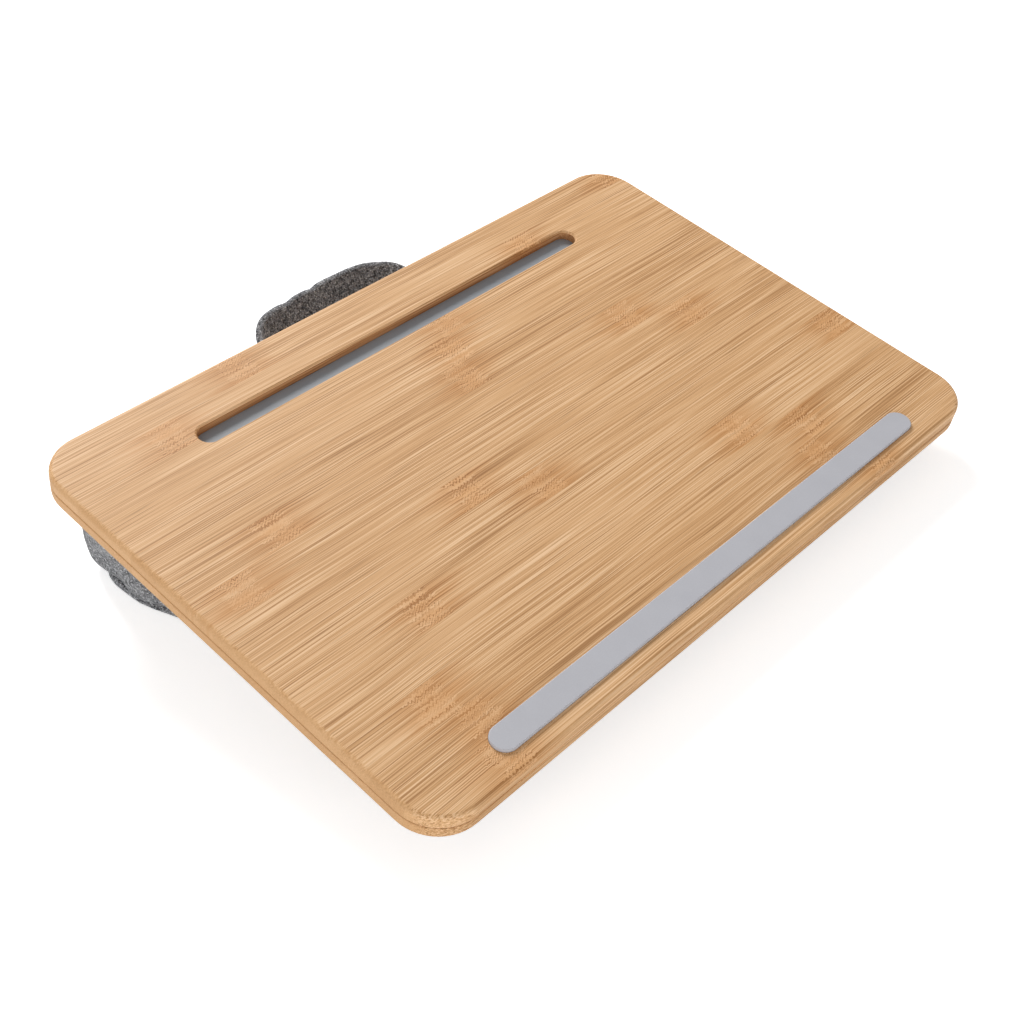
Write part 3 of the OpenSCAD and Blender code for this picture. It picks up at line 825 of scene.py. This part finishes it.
path_points = loop_path()
loop_len = sum(math.dist(a, b) for a, b in zip(path_points, path_points[1:]))
deselect_all()
STRAP_CUTS = 120
bpy.ops.mesh.primitive_grid_add(x_subdivisions=STRAP_CUTS, y_subdivisions=8, size=1,
                                rotation=(math.pi / 2, 0, 0), location=(0.5, 0, 0))
strap = bpy.context.object
strap.name = "carry_loop"
apply_place(strap)
for vertex in strap.data.vertices:
    share = vertex.co.x
    from_end = min(share, 1 - share) * loop_len
    gather = min(1.0, from_end / GATHER_LEN)
    width = ROOT_W + (BAND_W - ROOT_W) * gather * gather * (3 - 2 * gather)
    vertex.co = (share * loop_len, 0, vertex.co.z * width)
thick = strap.modifiers.new("padding", "SOLIDIFY")
thick.thickness = BAND_T
thick.offset = 0
soften = strap.modifiers.new("soften", "SUBSURF")
soften.levels = 2
soften.render_levels = 2
apply_modifiers(strap)
print("strap length", round(loop_len, 4), "faces", len(strap.data.polygons))

# %% [markdown]
# Cloth over padding is never even, so slow noise pushes the strap in and out, and two folds dent
# its top edge. A Curve modifier bends it round the loop. Away from the sewn ends the strap leans
# out at the top and rises a little, as a loop does whose lower edge is held shorter.

# %% Carry loop: bending it
CREASE = 1.1 * MM
FOLDS = ((0.37, 0.7 * MM, 0.025), (0.48, 0.6 * MM, 0.02))
LEAN = 0.6
LEAN_START = 145 * MM
LEAN_LEN = 35 * MM
for vertex in strap.data.vertices:
    share = vertex.co.x / loop_len
    high = max(0.0, vertex.co.z / (BAND_W / 2))
    vertex.co.y += CREASE * noise.noise(Vector((vertex.co.x * 45, vertex.co.z * 60, 3.0)))
    for place, depth, width in FOLDS:
        fold = math.exp(-((share - place) / width) ** 2)
        vertex.co.z -= depth * fold * high
        vertex.co.y -= 0.6 * depth * fold * high
guide_shape = bpy.data.curves.new("guide", "CURVE")
guide_shape.dimensions = "2D"
guide_line = guide_shape.splines.new("POLY")
guide_line.points.add(len(path_points) - 1)
for place, (x, y) in zip(guide_line.points, path_points):
    place.co = (x, y, 0, 1)
guide = bpy.data.objects.new("guide", guide_shape)
bpy.context.scene.collection.objects.link(guide)
bend = strap.modifiers.new("bend", "CURVE")
bend.object = guide
bend.deform_axis = "POS_X"
apply_modifiers(strap)
bpy.data.objects.remove(guide)
for vertex in strap.data.vertices:
    out = max(0.0, min(1.0, (vertex.co.y - LEAN_START) / LEAN_LEN))
    vertex.co.y += LEAN * out * vertex.co.z
    vertex.co.z += LOOP_RISE * out
strap.data.transform(board_frame @ Matrix.Translation((0, 0, ROOT_LEVEL)))
dress_piece(strap, cushion_cloth)
pick(strap)
bpy.ops.object.shade_smooth()
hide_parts("handle_cover", "handle_core")
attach(strap, "handle")
print("carry loop box", [round(v, 3) for v in strap.dimensions])

# %% [markdown]
# The two anchor patches are folded squares of cloth sewn to the cushion's back. Each is a cube at
# the patch's size with its edges rounded, and the two are joined into one piece.

# %% Anchor patches
anchor_low, anchor_high = (Vector(corner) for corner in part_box("handle_anchors"))
PATCH_W = 26 * MM
patches = []
for side in (-1, 1):
    middle_x = side * (anchor_high.x - PATCH_W / 2)
    deselect_all()
    middle = (middle_x, (anchor_low.y + anchor_high.y) / 2, (anchor_low.z + anchor_high.z) / 2)
    bpy.ops.mesh.primitive_cube_add(size=1, location=middle)
    patch = bpy.context.object
    patch.scale = (PATCH_W, anchor_high.y - anchor_low.y, anchor_high.z - anchor_low.z)
    apply_place(patch)
    rounding = patch.modifiers.new("rounding", "BEVEL")
    rounding.width = 0.9 * MM
    rounding.segments = 3
    apply_modifiers(patch)
    patches.append(patch)
deselect_all()
for patch in patches:
    patch.select_set(True)
bpy.context.view_layer.objects.active = patches[0]
bpy.ops.object.join()
anchors = bpy.context.object
anchors.name = "anchor_patches"
dress_piece(anchors, cushion_cloth)
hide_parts("handle_anchors")
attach(anchors, "base")
print("anchor patches", len(patches))
